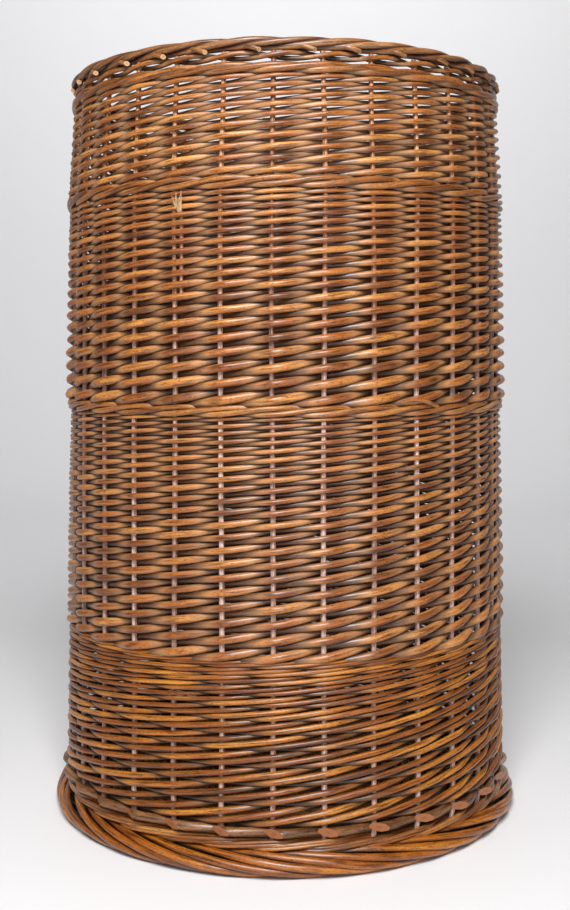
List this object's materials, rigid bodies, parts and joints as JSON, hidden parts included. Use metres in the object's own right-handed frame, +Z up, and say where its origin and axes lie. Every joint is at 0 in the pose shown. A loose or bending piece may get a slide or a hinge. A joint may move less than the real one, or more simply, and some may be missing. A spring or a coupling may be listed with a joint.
{
  "type": "laundry hamper",
  "caption": "Tall round willow laundry hamper, woven on upright stakes with roped wales, rolled borders and a round woven lid that hangs open at the back on a hinge stick.",
  "frame": {"origin": "on the hamper's axis at the floor, under the middle of the foot border", "axes": "+Z up along the hamper's axis, -Y to the front, +Y to the back where the lid is hinged"},
  "size_m": [0.4258, 0.4292, 0.6663],
  "materials": {
    "woven_willow": "varnished willow rods, honey brown",
    "stake_willow": "varnished willow, pinkish tan",
    "stick_willow": "varnished thick willow",
    "border_willow": "varnished willow, darker",
    "wale_willow": "varnished willow rods",
    "skein_loop": "split willow skein"
  },
  "bodies": {
    "basket": {"base_sticks_pierced": "stick_willow", "base_sticks_threaded": "stick_willow", "base_weave": "woven_willow", "foot_border": "border_willow", "upsett_wale": "wale_willow", "lower_band": "woven_willow", "middle_band": "woven_willow", "middle_wale": "wale_willow", "upper_band": "woven_willow", "upper_wale": "wale_willow", "top_band": "woven_willow", "top_wale": "wale_willow", "top_border": "border_willow", "rim_loop_left": "skein_loop", "rim_loop_right": "skein_loop", "stake_01": "stake_willow", "stake_02": "stake_willow", "stake_03": "stake_willow", "stake_04": "stake_willow", "stake_05": "stake_willow", "stake_06": "stake_willow", "stake_07": "stake_willow", "stake_08": "stake_willow", "stake_09": "stake_willow", "stake_10": "stake_willow", "stake_11": "stake_willow", "stake_12": "stake_willow", "stake_13": "stake_willow", "stake_14": "stake_willow", "stake_15": "stake_willow", "stake_16": "stake_willow", "stake_17": "stake_willow", "stake_18": "stake_willow", "stake_19": "stake_willow", "stake_20": "stake_willow", "stake_21": "stake_willow", "stake_22": "stake_willow", "stake_23": "stake_willow", "stake_24": "stake_willow", "stake_25": "stake_willow", "stake_26": "stake_willow", "stake_27": "stake_willow", "stake_28": "stake_willow", "stake_29": "stake_willow", "stake_30": "stake_willow"},
    "lid": {"lid_sticks_pierced": "stick_willow", "lid_sticks_threaded": "stick_willow", "lid_weave": "woven_willow", "lid_border": "border_willow", "hinge_stick": "stick_willow", "lid_loop_left": "skein_loop", "lid_loop_right": "skein_loop"}
  },
  "joints": [
    {"name": "lid_hinge", "type": "hinge", "parent": "basket", "child": "lid", "pos_m": [0, 0.20954, 0.6595], "axis": [1, 0, 0], "range_deg": [0, 270]}
  ]
}
